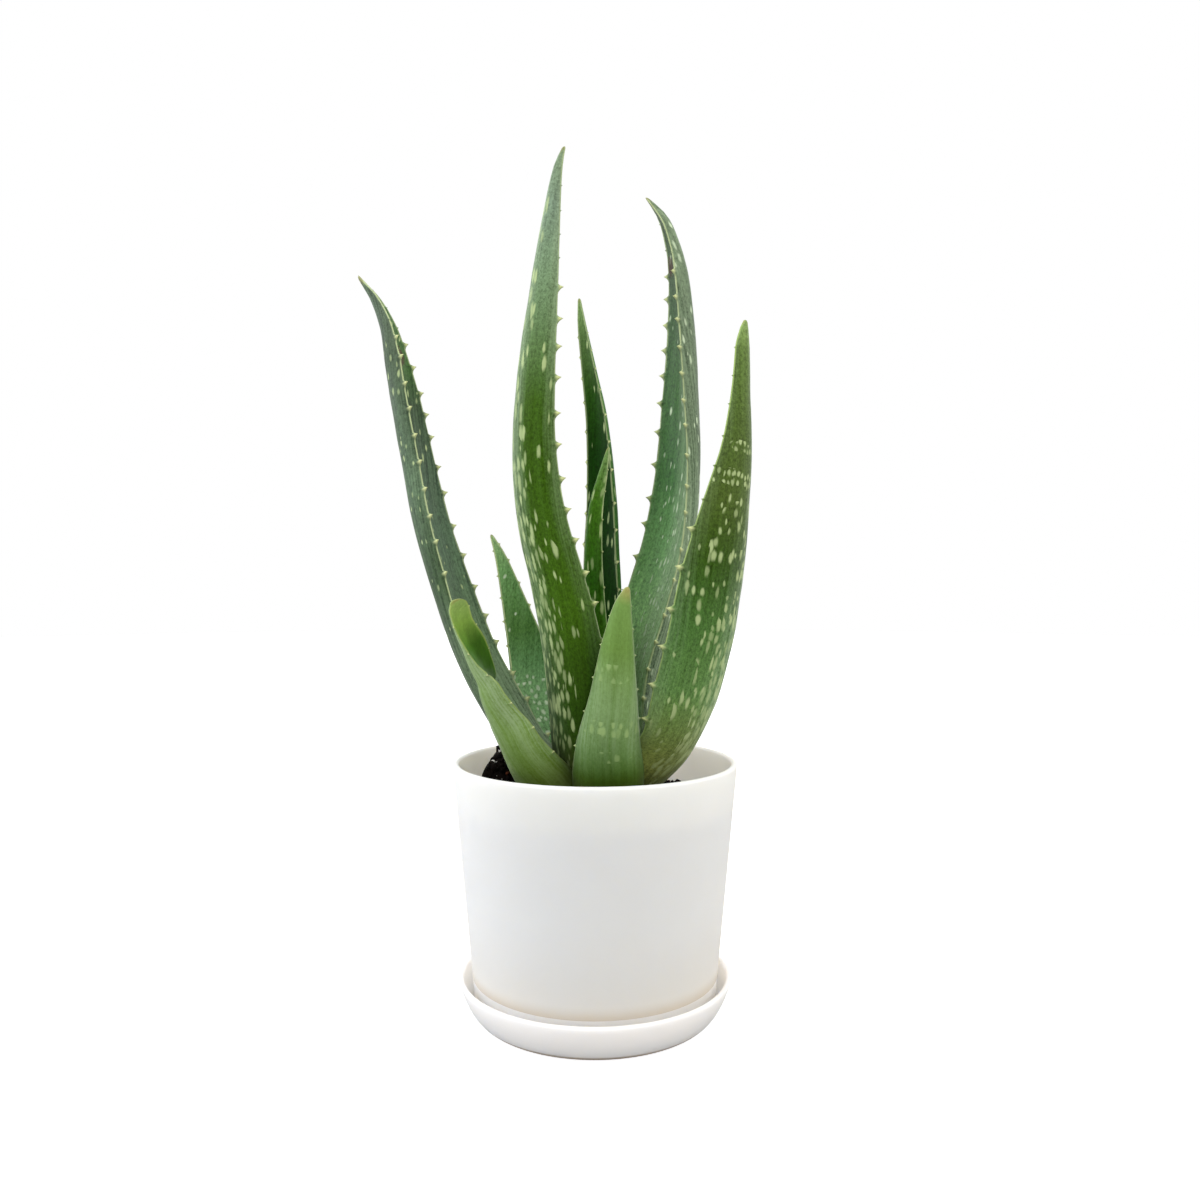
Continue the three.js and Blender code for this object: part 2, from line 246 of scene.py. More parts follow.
leafShapes["leaf_centre_tall"] = {
    "slot": "leaf_mid",
    "stations": [
        (-4, -7, 102, 29, 62), (-6, -13, 130, 30, 60), (-9.5, -23, 172, 30, 58), (-15.5, -28, 200, 27, 56),
        (-22, -31, 226, 24.8, 54), (-25.3, -32, 257, 22.3, 52), (-24.5, -31, 287, 20, 50),
        (-21.4, -28, 327, 14.8, 50), (-18.4, -24, 362, 9, 50), (-16, -21, 383, 4.8, 50),
        (-13.5, -19, 393, 1.6, 50),
    ],
    "bulge": (0.4, 0.46),
    "channel": (0.06, 0.14),
    "teeth": 1,
    "smoothFrom": 0.78,
    "toothDrop": -1.2,
    "outer": [
        (0, "2a4a0c"), (0.15, "264407"), (0.3, "365809"), (0.5, "2f5004"), (0.6, "33540c"),
        (0.68, "4e6a3c"), (0.8, "6a8262"), (0.9, "728670"), (1, "748868"),
    ],
    "inner": [(0, "2f5a22"), (1, "4b7a3a")],
    "bloom": 0.2,
    "gloss": 0.15,
    "frost": {
        "along": [(0, 0.15), (0.3, 0.4), (0.45, 0.75), (0.6, 0.9), (0.8, 0.85), (1, 0.8)],
        "across": [(0, 0.45), (0.12, 0.05), (0.42, 0.05), (0.62, 0.6), (0.8, 1), (1, 1)],
    },
    "flecks": [
        {"pitch": (3.1, 10), "size": (0.32, 0.56), "scatter": 0.95,
         "along": [(0, 0.3), (0.3, 0.5), (0.45, 0.9), (0.7, 0.95), (0.8, 0.75), (0.97, 0.7)],
         "across": [(0, 0.03), (0.4, 0.1), (0.52, 0.7), (0.8, 1), (1, 0.9)]},
        {"pitch": (2.3, 8), "size": (0.24, 0.56), "scatter": 1,
         "along": [(0, 0.8), (0.3, 1), (0.42, 0.95), (0.52, 0.45), (0.7, 0.08), (1, 0)],
         "across": [(0, 0.1), (0.28, 0.2), (0.42, 0.9), (0.85, 1), (1, 0.8)]},
    ],
}
leafShapes["leaf_right_tall"] = {
    "slot": "leaf_blue",
    "stations": [
        (10, 3, 100, 30, 215), (12, 8, 128, 32, 215), (15.2, 15, 158, 33, 216), (24.4, 21, 190, 33, 217),
        (32.5, 25, 219, 31, 216), (37.2, 28, 255, 28, 210), (38, 28, 289, 24.5, 202),
        (38.2, 27, 322, 20.5, 192), (37, 23, 350, 15, 187), (35.2, 21, 362, 11.5, 186),
        (31, 18, 374, 7.5, 186), (24, 14, 383, 1.6, 186),
    ],
    "bulge": (0.54, 0.54),
    "channel": (0.06, 0.18),
    "teeth": 1,
    "smoothFrom": 0.9,
    "toothOut": 1.7,
    "toothDrop": -2.4,
    "outer": [
        (0, "1f3a14"), (0.3, "2a4a22"), (0.45, "2f5027"), (0.6, "243f1c"), (0.85, "485e40"), (1, "5c7250"),
    ],
    # painted light: the inner face is lighter low down, where it lies in the shade of its neighbours
    "inner": [
        (0, "76a85c"), (0.3, "80b068"), (0.4, "689a56"), (0.53, "386a2a"), (0.66, "345f24"),
        (0.83, "364e2e"), (1, "445438"),
    ],
    "bloom": 0.2,
    "gloss": 0.2,
    "glossTint": "ffffff",
    "line": (0.6, 1),
    "frost": {
        "along": [(0, 0.9), (0.4, 0.9), (0.6, 0.55), (1, 0.55)],
        "across": [(0, 0.5), (0.12, 0.15), (0.45, 0.1), (0.62, 0.6), (0.8, 1), (1, 1)],
    },
    "speckle": 1.6,
    "fleck": "c6d8b4",
    "fleckShare": 0.95,
    "flecks": [
        {"pitch": (3.4, 8), "size": (0.16, 0.34), "scatter": 1,
         "along": [(0, 0.1), (0.6, 0.15), (0.75, 0.5), (1, 0.4)],
         "across": [(0, 0.5), (0.5, 0.6), (1, 0.5)]},
        {"pitch": (2.8, 9), "size": (0.16, 0.34), "scatter": 1,
         "along": [(0, 0.5), (0.25, 0.8), (0.45, 0.7), (0.65, 0.2), (1, 0.05)],
         "across": [(0, 0.1), (0.3, 0.3), (0.5, 0.8), (1, 0.6)]},
    ],
    "scars": [{"at": (-0.72, 0.885), "reach": (0.34, 0.018)}],
}
leafShapes["leaf_left_tall"] = {
    "slot": "leaf_blue",
    "stations": [
        (-14, -2, 99, 31, 336), (-24, 3, 116, 33, 336), (-38, 11, 137, 33, 338), (-54, 17, 166, 32, 341),
        (-66.5, 21, 200, 30.5, 345), (-76, 24, 230, 28, 348), (-82.3, 26, 257, 25, 350),
        (-90.4, 28, 294, 21, 351), (-94.3, 29, 310, 18, 355), (-100.2, 30, 328, 12.5, 356),
        (-107, 31, 340, 8, 355), (-117.6, 32, 351.6, 1.6, 355),
    ],
    "bulge": (0.34, 0.6),
    "channel": (0.08, 0.2),
    "teeth": 1,
    "smoothFrom": 0.87,
    "toothOut": 1.7,
    "toothDrop": -2.4,
    "outer": [
        (0, "2c4a20"), (0.35, "1c3c0a"), (0.46, "1e3a12"), (0.6, "3a5536"), (0.85, "283a22"), (1, "3c503a"),
    ],
    "inner": [
        (0, "506a44"), (0.35, "4a6644"), (0.5, "365238"), (0.62, "25422a"), (0.75, "1b3a12"),
        (0.83, "285608"), (0.92, "2c5420"), (1, "3c5838"),
    ],
    "bloom": 0.2,
    "gloss": 0.15,
    "glossTint": "ffffff",
    "line": (1, 0.6),
    "frost": {
        "along": [(0, 0.9), (0.28, 0.8), (0.42, 0.25), (0.6, 0.55), (0.75, 0.35), (1, 0.5)],
        "across": [(0, 0.7), (0.15, 0.5), (0.4, 0.35), (0.7, 0.7), (1, 0.8)],
    },
    "innerFrostAndSheen": 0.75,
    "streak": 0.8,
    "speckle": 1.7,
    "flecks": [
        {"pitch": (3.4, 8), "size": (0.14, 0.32), "scatter": 1,
         "along": [(0, 0.1), (0.3, 0.2), (0.5, 0.35), (0.8, 0.6), (1, 0.4)],
         "across": [(0, 0.5), (0.5, 0.7), (1, 0.5)]},
    ],
    "scars": [{"at": (0.3, 0.838), "reach": (0.45, 0.022)}],
}
leafShapes["leaf_back_short"] = {
    "slot": "leaf_mid",
    "stations": [
        (-13, 20, 99, 26, 305), (-20.5, 27, 124, 28.5, 305), (-28.5, 35, 146, 26.8, 303),
        (-35.5, 40, 170, 20, 302), (-43, 43, 195.2, 11.8, 302), (-48.5, 44.5, 212.4, 6.2, 302),
        (-53.5, 45.5, 223.7, 1.6, 302),
    ],
    "bulge": (0.36, 0.42),
    "channel": (0.05, 0.12),
    "teeth": 0.65,
    "toothDrop": 0.3,
    "outer": [(0, "345a2a"), (0.5, "45702f"), (0.85, "5d8a45"), (1, "7fa668")],
    "inner": [
        (0, "5c8252"), (0.4, "78a46e"), (0.5, "608e56"), (0.62, "467230"), (0.85, "689758"), (1, "8eb078"),
    ],
    "bloom": 0.15,
    "gloss": 0.15,
    "line": (1, 1),
    "frost": {"along": [(0, 0.5), (0.5, 0.3), (1, 0.5)], "across": [(0, 0.6), (0.4, 0.3), (1, 0.5)]},
    "fleck": "cddbbe",
    "fleckShare": 1,
    "flecks": [
        {"pitch": (3.8, 4.2), "size": (0.24, 0.42), "scatter": 1,
         "along": [(0, 1), (0.4, 1), (0.46, 0.1), (1, 0)],
         "across": [(0, 0.9), (1, 0.9)]},
    ],
}
leafShapes["leaf_right_broad"] = {
    "slot": "leaf_dark",
    "stations": [
        (12, -5, 96, 22, 132), (20.5, -9, 112, 27.5, 132), (31.5, -14.5, 128, 32, 131),
        (38.8, -24, 151, 36.4, 130), (44.2, -29.6, 174, 36.2, 130), (48.6, -34.4, 200, 34, 130),
        (54.5, -37, 230, 26, 132), (59.5, -38, 256, 17, 134), (61.8, -37, 280, 10.5, 135),
        (62.9, -36.5, 300, 8, 135), (64.2, -35.7, 308.5, 4.2, 135), (65.2, -34, 312, 1.6, 135),
    ],
    "bulge": (0.36, 0.46),
    "channel": (0.06, 0.14),
    "teeth": 1,
    "smoothFrom": 0.62,
    "toothDrop": -1.7,
    "outer": [
        (0, "3c4a18"), (0.12, "848e46"), (0.3, "557a3c"), (0.42, "41682a"), (0.54, "2a4804"),
        (0.66, "44581f"), (0.8, "465b24"), (0.93, "587034"), (1, "7f9a55"),
    ],
    "inner": [
        (0, "2b4c18"), (0.2, "3f6a2c"), (0.5, "466c36"), (0.7, "4b6c2c"), (0.85, "65893f"), (1, "7d9f55"),
    ],
    "bloom": 0.15,
    "gloss": 0.14,
    "glossTint": "dce6a4",
    "margin": "a3bb6e",
    "line": (0.3, 1),
    "frost": {
        "along": [(0, 0.2), (0.2, 1), (0.42, 0.8), (0.6, 0.4), (0.8, 0.4), (1, 0.7)],
        "across": [(0, 1), (0.2, 1), (0.4, 0.4), (0.6, 0.1), (0.9, 0.05), (1, 0.3)],
    },
    "frostAndSheenShare": 1,
    "flecks": [
        {"pitch": (3.3, 6.5), "size": (0.22, 0.48), "scatter": 0.95,
         "along": [(0, 0.3), (0.35, 0.4), (0.45, 0.7), (0.55, 0.9), (0.64, 0.8), (0.68, 0.03), (1, 0)],
         "across": [(0, 0.9), (0.6, 0.85), (0.85, 0.6), (1, 0.2)]},
        {"pitch": (2.6, 8), "size": (0.28, 0.62), "scatter": 1,
         "along": [(0, 1), (0.3, 1), (0.42, 0.75), (0.5, 0.35), (0.6, 0.2), (0.68, 0), (1, 0)],
         "across": [(0, 1), (0.5, 0.95), (0.62, 0.6), (0.75, 0.2), (1, 0.05)]},
        {"pitch": (2.1, 3.4), "size": (0.4, 0.52), "scatter": 0.35,
         "along": [
             (0, 0), (0.68, 0), (0.685, 0.7), (0.71, 0.7), (0.715, 0), (0.742, 0), (0.747, 1), (0.76, 1),
             (0.766, 0),
         ],
         "across": [(0, 0.2), (0.2, 0.95), (0.8, 0.95), (1, 0.2)]},
    ],
}
leafShapes["leaf_left_short"] = {
    "slot": "leaf_light",
    "stations": [
        (-12, -10, 96, 27, 66), (-23, -15, 113, 27, 60), (-32.4, -20.6, 130.6, 23.7, 41),
        (-37.2, -22.6, 139.6, 21.4, 38), (-41.1, -25.4, 150, 20.7, 23), (-42.8, -27, 156.6, 19.9, 9),
        (-47.4, -28.4, 163.9, 17.1, -8), (-51.7, -30.6, 172, 14.1, -26), (-56.3, -33, 180.1, 10.8, -41),
        (-58.5, -35, 187.8, 9.4, -55), (-58.5, -36, 191.7, 6.3, -61),
    ],
    "bulge": (0.5, 0.45),
    "channel": (0.06, 0.2),
    "teeth": 0.4,
    "outer": [(0, "516a0c"), (0.2, "5a7a16"), (0.45, "67863a"), (1, "6c893b")],
    "inner": [(0, "3f6c14"), (0.62, "41701c"), (0.8, "4c7a26"), (0.9, "7ea046"), (1, "94b062")],
    # painted shade: the inner face darker across the leaf, towards one margin
    "fold": [(0, 1), (0.35, 0.95), (0.55, 0.6), (0.85, 0.6), (1, 0.9)],
    "bloom": 0.15,
    "gloss": 0.2,
    "margin": "a6b666",
    "line": (0.4, 0.6),
    "frost": {
        "along": [(0, 0.3), (0.4, 0.7), (0.5, 1), (0.85, 1), (0.95, 0.3)],
        "across": [(0, 0.6), (0.25, 0.3), (0.5, 0.3), (0.75, 0.9), (1, 1)],
    },
    "frostAndSheenShare": 1.1,
    "innerFrostAndSheen": 0,
    "streak": 0.2,
    "speckle": 0.45,
    "flecks": [],
    "heelShadeEnd": 0.34,
}
leafShapes["leaf_front_short"] = {
    "slot": "leaf_light",
    "stations": [
        (5, -16, 96, 29, 94), (6, -21, 112, 32.5, 94), (6, -26, 127, 29, 94), (8, -33, 148, 21.5, 94),
        (10, -41, 174, 13.5, 94), (12, -46, 190, 7, 94), (14, -48, 197, 2, 94),
    ],
    "bulge": (0.38, 0.46),
    "channel": (0.06, 0.12),
    "teeth": 0.35,
    "outer": [
        (0, "284406"), (0.2, "3c6208"), (0.32, "5c7f40"), (0.5, "729256"), (0.75, "66883e"),
        (0.93, "6c8e46"), (1, "9a9458"),
    ],
    "inner": [(0, "46702c"), (1, "6c9650")],
    "bloom": 0.2,
    "gloss": 0.25,
    "line": (0.8, 0.8),
    "frost": {
        "along": [(0, 0), (0.2, 0.1), (0.36, 0.7), (0.6, 0.5), (0.72, 0.15), (1, 0.1)],
        "across": [(0, 1), (0.15, 0.6), (0.3, 0.4), (0.7, 0.4), (1, 1)],
    },
    "streak": 0.25,
    "speckle": 0.4,
    "fleck": "9db878",
    "fleckShare": 0.7,
    "flecks": [
        {"pitch": (3.2, 6), "size": (0.36, 0.56), "scatter": 0.7,
         "along": [(0, 0), (0.28, 0), (0.3, 0.4), (0.33, 0), (0.38, 0), (0.4, 1), (0.45, 1), (0.46, 0)],
         "across": [(0, 0.2), (0.25, 0.9), (0.75, 0.9), (1, 0.2)]},
        {"pitch": (3, 6), "size": (0.34, 0.54), "scatter": 0.7,
         "along": [(0, 0), (0.61, 0), (0.63, 1), (0.68, 1), (0.7, 0), (1, 0)],
         "across": [(0, 0.2), (0.25, 0.8), (0.75, 0.8), (1, 0.2)]},
    ],
    "heelShadeEnd": 0.3,
}

leafBuild = {
    "rowStep": 5.0,
    "rowClear": 1.2,  # no plain row lies closer than this to a tooth's row
    "rowLeast": 0.12,
    "outerAngles": (
        0, 4, 9, 16, 25, 36, 48, 60, 72, 84, 96, 108, 120, 132, 144, 155, 164, 171, 176, 180,
    ),
    "innerSides": (-0.97, -0.91, -0.82, -0.68, -0.5, -0.26, 0, 0.26, 0.5, 0.68, 0.82, 0.91, 0.97),
    "tipFade": 0.08,  # share of the length over which the hollow fades
    "heelFull": 0.34,  # low down the inner face is full, up to this share of the width
    "heelLength": 32,
    "tipRound": 1.6,
    "tipRows": (1, 0.7, 0.45, 0.25, 0.1, 0.02),  # shares of tipRound, from the very tip
    "ripple": 0.22,  # how uneven the skin is
    "rippleScale": 0.07,
    "divisions": 200,
}
toothBuild = {
    "firstHeight": 118,
    "lastShare": 0.96,
    "gap": (17, 9),  # near the base and near the tip
    "jitter": 0.18,
    "before": 3.0,  # its flank starts this far below its place, and ends this far above
    "after": 2.6,
    "lean": 0.8,
    "flanks": (2.3, 1.8),  # how hollow its lower and upper flank are
    "tipSize": 0.4,
    "fullWidth": 30,
    "rowsBefore": (0, 0.35, 0.65, 0.85),
    "rowsAfter": (0.2, 0.45, 0.75, 1),
    "spread": (1, 0.55, 0.2),  # how much of it the margin and its neighbours take
    "toothOut": 2.7,
    "toothDrop": 0.8,  # how far it leans away from the inner face
    "smoothFrom": 1,  # towards the tip some margins are nearly smooth
    "smoothSize": 0.3,
}


def alongCurve(points, t):
    spans = len(points) - 1
    span = min(int(t * spans), spans - 1)
    w = t * spans - span
    p1, p2 = points[span], points[span + 1]
    p0 = points[span - 1] if span > 0 else 2 * p1 - p2
    p3 = points[span + 2] if span + 2 <= spans else 2 * p2 - p1
    d0, d1, d2 = ((b - a).length ** 0.5 for a, b in ((p0, p1), (p1, p2), (p2, p3)))
    d1 = d1 if d1 > 1e-4 else 1.0
    d0 = d0 if d0 > 1e-4 else d1
    d2 = d2 if d2 > 1e-4 else d1
    m1 = ((p1 - p0) / d0 - (p2 - p0) / (d0 + d1) + (p2 - p1) / d1) * d1
    m2 = ((p2 - p1) / d1 - (p3 - p1) / (d1 + d2) + (p3 - p2) / d2) * d1
    square, cube = -3 * p1 + 3 * p2 - 2 * m1 - m2, 2 * p1 - 2 * p2 + m1 + m2
    return p1 + m1 * w + square * w**2 + cube * w**3


def layOut(leaf):
    leaf["route"] = [Vector(s[:3]) for s in leaf["stations"]]
    leaf["gauge"] = [Vector((s[3], s[4], 0)) for s in leaf["stations"]]
    count = leafBuild["divisions"]
    places = [alongCurve(leaf["route"], i / count) for i in range(count + 1)]
    lengths = [0.0]
    for a, b in zip(places, places[1:]):
        lengths.append(lengths[-1] + (b - a).length)
    leaf["lengths"] = lengths
    leaf["length"] = lengths[-1]


def curveTime(leaf, share):
    target = share * leaf["length"]
    lengths = leaf["lengths"]
    for i, (a, b) in enumerate(zip(lengths, lengths[1:])):
        if target <= b:
            return (i + (target - a) / (b - a)) / leafBuild["divisions"]
    return 1.0


def leafFrame(leaf, share):
    t = curveTime(leaf, share)
    centre = alongCurve(leaf["route"], t)
    before, after = (alongCurve(leaf["route"], end) for end in (max(0, t - 1e-4), min(1, t + 1e-4)))
    tangent = (after - before).normalized()
    width, facing, _ = alongCurve(leaf["gauge"], t)
    inward = Vector((math.cos(math.radians(facing)), math.sin(math.radians(facing)), 0))
    inward = (inward - tangent * inward.dot(tangent)).normalized()
    fadeAt = min(1, (1 - share) / leafBuild["tipFade"])
    heel = math.exp(-((share * leaf["length"] / leafBuild["heelLength"]) ** 2))
    return {
        "centre": centre,
        "inward": inward,
        "across": tangent.cross(inward),
        "half": width / 2,
        "toothSize": leaf["teeth"] * min(1, leaf["tipSize"] + width / leaf["fullWidth"]),
        "bulge": width * lerp(*leaf["bulge"], share),
        "channel": width * (lerp(*leaf["channel"], share) * fadeAt - leafBuild["heelFull"] * heel),
    }


def drawStream(seed):
    state = seed
    while True:
        state = state * 16807 % 2147483647
        yield state / 2147483647


def placeTeeth(leaf, seed):
    draws = drawStream(seed)
    teeth = []
    for side in (-1, 1):
        along = next(draws) * leaf["gap"][0]
        while along < leaf["length"] * leaf["lastShare"]:
            share = along / leaf["length"]
            spot = leafFrame(leaf, share)
            size = spot["toothSize"]
            if share > leaf["smoothFrom"]:
                size *= leaf["smoothSize"]
            if spot["centre"].z > leaf["firstHeight"]:
                teeth.append((side, along, size))
            gap = lerp(*leaf["gap"], share * share)
            along += gap * (1 + leaf["jitter"] * (next(draws) - 0.5) * 2)
    return teeth


def toothSpan(place, size):
    low = place - toothBuild["before"] * size
    return low, place + toothBuild["lean"] * size, place + toothBuild["after"] * size


def toothShape(tooth, along):
    low, peak, high = toothSpan(*tooth[1:])
    if low < along <= peak:
        return ((along - low) / (peak - low)) ** toothBuild["flanks"][0]
    if peak < along < high:
        return ((high - along) / (high - peak)) ** toothBuild["flanks"][1]
    return 0.0


def leafRows(leaf, teeth):
    rows = set()
    peaks = set()
    for _, place, size in teeth:
        low, peak, high = toothSpan(place, size)
        rows.update(lerp(low, peak, share) for share in toothBuild["rowsBefore"])
        rows.add(peak)
        rows.update(lerp(peak, high, share) for share in toothBuild["rowsAfter"])
        peaks.add(peak)
    length = leaf["length"]
    rows.update(length - leafBuild["tipRound"] * share for share in leafBuild["tipRows"])
    count = round(length / leafBuild["rowStep"])
    for i in range(count + 1):
        place = length * i / count
        if i in (0, count) or min(abs(place - row) for row in rows) > leafBuild["rowClear"]:
            rows.add(place)
    rows = sorted(row for row in rows if 0 <= row <= length)
    kept = [rows[0]]
    for row in rows[1:]:
        if row - kept[-1] > leafBuild["rowLeast"]:
            kept.append(row)
        elif row in peaks or row == rows[-1]:
            kept[-1] = row
    return kept


# Millimetres round the section from one margin to each column.
def measureRound(ring, spot, far):
    flat = []
    for column, (across, depth, isInner) in enumerate(ring):
        rise = spot["channel"] if isInner and column != far else spot["bulge"]
        flat.append((across * spot["half"], depth * rise))
    girth = [0.0]
    for a, b in zip(flat, flat[1:]):
        girth.append(girth[-1] + math.dist(a, b))
    return girth


# What each point keeps for the skin: where it is across and along the leaf, which face it is on,
# how far out on a tooth, and millimetres to the nearest margin.
pointValues = ("across", "along", "inner", "spine", "edge")


def growLeaf(name, leaf, seed):
    layOut(leaf)
    teeth = placeTeeth(leaf, seed)
    rows = leafRows(leaf, teeth)
    bends = [math.radians(angle) for angle in leafBuild["outerAngles"]]
    outer = [(math.cos(bend), math.sin(bend), 0) for bend in bends]
    inner = [(side, 1 - side * side, 1) for side in leafBuild["innerSides"]]
    ring = outer + inner + [outer[0]]
    columns = len(ring) - 1
    far = len(outer) - 1  # the column of the other margin
    bm = bmesh.new()
    kept = [bm.verts.layers.float.new(word) for word in pointValues]
    skinLayer = bm.verts.layers.float_vector.new("skin")
    bmesh.ops.create_grid(bm, x_segments=columns, y_segments=len(rows) - 1, size=1)
    frames = [leafFrame(leaf, row / leaf["length"]) for row in rows]
    shapes = [
        {s: max([toothShape(t, row) * t[2] for t in teeth if t[0] == s] or [0]) for s in (-1, 1)}
        for row in rows
    ]
    girths = [measureRound(ring, spot, far) for spot in frames]
    for vert in bm.verts:
        column = round((vert.co.x + 1) / 2 * columns)
        row = round((vert.co.y + 1) / 2 * (len(rows) - 1))
        spot = frames[row]
        girth = girths[row]
        across, depth, isInner = ring[column]
        toTip = (leaf["length"] - rows[row]) / leafBuild["tipRound"]
        close = math.sqrt(max(0, 1 - (1 - toTip) ** 2)) if toTip < 1 else 1
        rise = spot["channel"] if isInner else spot["bulge"]
        offset = spot["across"] * across * spot["half"] - spot["inward"] * depth * rise
        ripplePlace = (spot["centre"] + offset) * leafBuild["rippleScale"] + Vector((seed, 0, 0))
        wobble = noise.noise(ripplePlace)
        offset += spot["inward"] * wobble * leafBuild["ripple"] * (1 if isInner else -1)
        side = 1 if across > 0 else -1
        toMargin = min(column, columns - column) if side > 0 else abs(column - far)
        spike = 0.0
        if toMargin < len(leaf["spread"]):
            spike = shapes[row][side] * leaf["spread"][toMargin]
        offset += spot["across"] * side * spike * leaf["toothOut"]
        offset -= spot["inward"] * spike * leaf["toothDrop"]
        vert.co = (spot["centre"] + offset * close) * mm
        values = (
            across,
            rows[row] / leaf["length"],
            isInner if toMargin else 0.5,
            min(1, spike / max(0.01, spot["toothSize"])),
            min(abs(girth[column] - girth[end]) for end in (0, far, columns)),
        )
        for layer, value in zip(kept, values):
            vert[layer] = value
        vert[skinLayer] = (girth[column] - girth[far] / 2, rows[row], seed * 3)
    bmesh.ops.remove_doubles(bm, verts=bm.verts, dist=1e-7)
    rim = [edge for edge in bm.edges if edge.is_boundary]
    bmesh.ops.holes_fill(bm, edges=rim, sides=0)
    print(name, len(rows), "rows,", len(teeth), "teeth,", len(bm.faces), "faces")
    return bm


leafFinish = {
    "mottle": 0.2,
    "streak": 0.5,
    "speckle": 1.4,
    # where the painted shade across the inner face fades out towards the tip
    "foldEnd": (0.8, 0.93),
    # grey of the waxy bloom, which also paints a sheen on the lit edges
    "wax": "a5b896",
    "frostAndSheenShare": 0.75,
    "innerFrostAndSheen": 1,  # how much of the bloom and painted sheen the inner face has
    "dust": (0.4, 0.6),  # how much fine rays and grain break up the streaked bloom and painted sheen
    "veilBreakupReach": (0.7, 1.25),
    "fleck": "b5c68c",
    "fleckShare": 0.78,
    "fleckSoft": 0.35,
    "fleckStrength": (0.55, 1),
    "warp": (1.2, 3.0, 0),
    "scar": "43301f",
    "scars": [],
    "scarRagged": 1.2,
    "scarReach": (0.5, 1.1, 0.85),
    "margin": "b9c794",
    "line": (0.5, 0.5),  # how strong the pale line is on each margin
    "lineWidth": (0.25, 1),
    "lineStart": (0.08, 0.2),
    "tooth": "ccd396",
    "toothReach": (0.12, 0.6),
    "ragged": 0.05,
    # painted shade at the base of each leaf, dark olive
    "heel": "3a3f1a",
    "heelShadeEnd": 0.13,
    "heelShadeShare": 0.75,
    "tip": "8f8a52",
    "tipReach": (0.985, 1.0, 0, 0.7),
    "roughness": (0.42, 0.58),
    "glossTint": "c8dc70",
    "sheen": (0.4, 0.45, "dfeadf"),  # share of the bloom, roughness, colour
    "streakRelief": (0.4, 0.25),
    "grainRelief": (0.35, 0.15),
}
# stretch across, along and between leaves, then detail and roughness
skinNoise = {
    "patches": ((0.11, 0.025, 0.1), 3.0, 0.55),
    "streaks": ((0.6, 0.016, 0.1), 4.0, 0.7),
    "grain": ((0.9, 0.6, 0.1), 4.0, 0.85),
    "rays": ((1.5, 0.03, 0.1), 3.0, 0.7),
    "warp": ((0.5, 0.2, 0.1), 2.0, 0.55),
}


def skinCloud(tree, skin, name, output="Fac"):
    stretch, detail, roughness = skinNoise[name]
    return cloud(tree, stretched(tree, skin, stretch), 1.0, detail, roughness, output)


def fleckLayer(tree, leaf, layer, warped, along, acrossShare, number):
    pitch = layer["pitch"]
    shift = (number * 7.3, number * 3.1, 0)  # so that no two layers share their cells
    place = stretched(tree, warped, (1 / pitch[0], 1 / pitch[1], 0), shift)
    distance, draws = cellDraws(tree, place, "2D", 1.0, layer["scatter"])
    alongDense = ramp(tree, along, layer["along"])
    density = times(tree, alongDense, ramp(tree, acrossShare, layer["across"]))
    there = calc(tree, "LESS_THAN", draws[0], density)
    radius = fade(tree, draws[1], 0, 1, *layer["size"])
    spot = fade(tree, distance, times(tree, radius, leaf["fleckSoft"]), radius, 1, 0)
    return times(tree, spot, there, fade(tree, draws[2], 0, 1, *leaf["fleckStrength"]))


def allFlecks(tree, leaf, skin, along, acrossShare):
    warped = tree.nodes.new("ShaderNodeVectorMath")
    warped.operation = "MULTIPLY_ADD"
    tree.links.new(skinCloud(tree, skin, "warp", "Color"), warped.inputs[0])
    warped.inputs[1].default_value = leaf["warp"]
    tree.links.new(skin, warped.inputs[2])
    flecks = 0.0
    for number, layer in enumerate(leaf["flecks"]):
        spots = fleckLayer(tree, leaf, layer, warped.outputs[0], along, acrossShare, number)
        flecks = calc(tree, "MAXIMUM", flecks, spots)
    return times(tree, flecks, leaf["fleckShare"])


# How far a value is from the middle, squared, where reach is 1.
def squareOff(tree, value, middle, reach):
    share = calc(tree, "DIVIDE", calc(tree, "SUBTRACT", value, middle), reach)
    return calc(tree, "POWER", share, 2.0)


